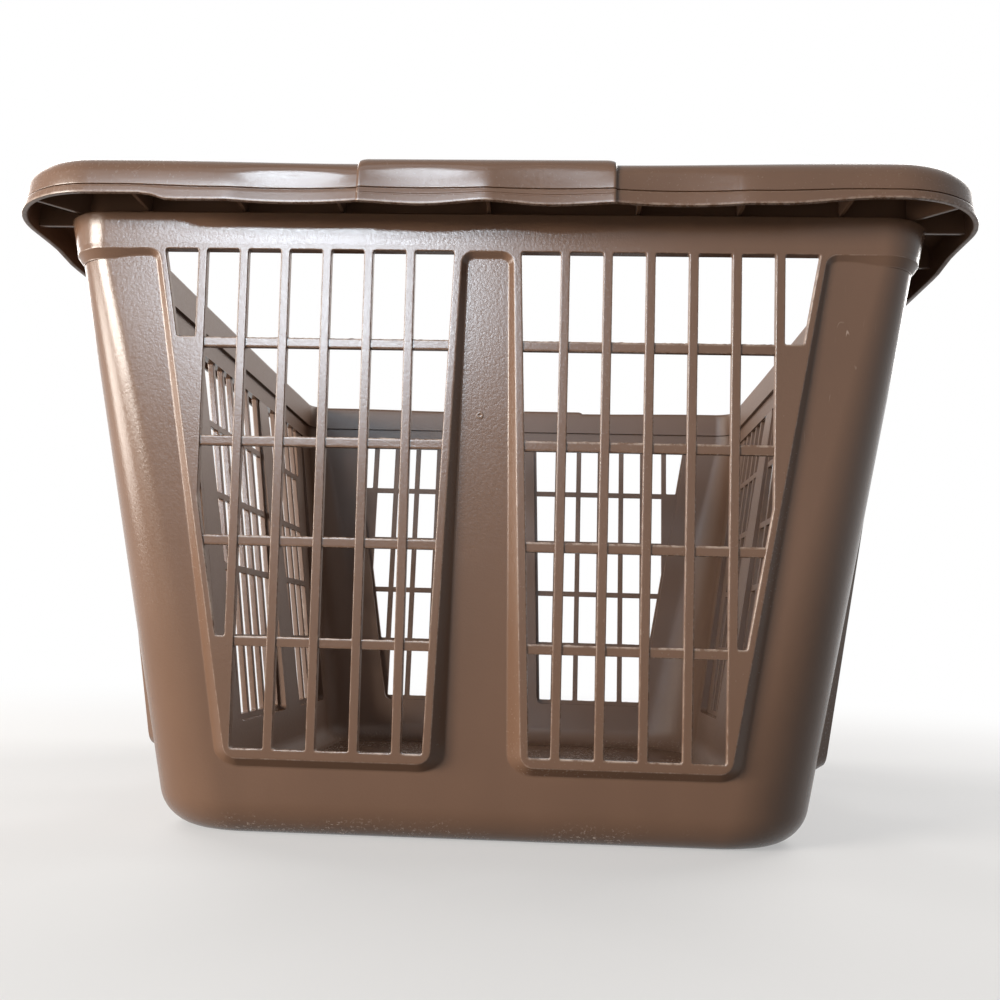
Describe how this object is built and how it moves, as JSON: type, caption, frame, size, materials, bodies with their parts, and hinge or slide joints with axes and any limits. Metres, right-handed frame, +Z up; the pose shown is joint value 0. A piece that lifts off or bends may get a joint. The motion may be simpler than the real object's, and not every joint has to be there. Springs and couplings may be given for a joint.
{
  "type": "laundry basket",
  "caption": "Rectangular tapered plastic laundry basket with open grid walls, a wide rolled rim and a moulded hand grip at each end.",
  "frame": {"origin": "centre of the base, in the plane the basket stands on", "axes": "+Z up, +Y along the length of the basket from its front end to its rear end, +X across it to the right as seen from the front"},
  "size_m": [0.442, 0.5448, 0.2972],
  "materials": {
    "moulding": "semi-gloss chocolate brown injection-moulded plastic with a fine satin grain"
  },
  "bodies": {
    "root": {"floor_pan": "moulding", "skirt": "moulding", "corner_post_front_left": "moulding", "corner_post_front_right": "moulding", "corner_post_rear_left": "moulding", "corner_post_rear_right": "moulding", "mullion_front": "moulding", "mullion_rear": "moulding", "mullion_left_front": "moulding", "mullion_left_rear": "moulding", "mullion_right_front": "moulding", "mullion_right_rear": "moulding", "window_front_left": "moulding", "window_front_right": "moulding", "window_rear_left": "moulding", "window_rear_right": "moulding", "window_left_front": "moulding", "window_left_middle": "moulding", "window_left_rear": "moulding", "window_right_front": "moulding", "window_right_middle": "moulding", "window_right_rear": "moulding", "band": "moulding", "collar": "moulding", "rim_corner_front_left": "moulding", "rim_corner_front_right": "moulding", "rim_corner_rear_left": "moulding", "rim_corner_rear_right": "moulding", "rim_front_left": "moulding", "rim_front_right": "moulding", "rim_rear_left": "moulding", "rim_rear_right": "moulding", "rim_left": "moulding", "rim_right": "moulding", "grip_front": "moulding", "grip_rear": "moulding", "gussets_front": "moulding", "gussets_rear": "moulding", "gussets_left": "moulding", "gussets_right": "moulding"}
  },
  "joints": []
}
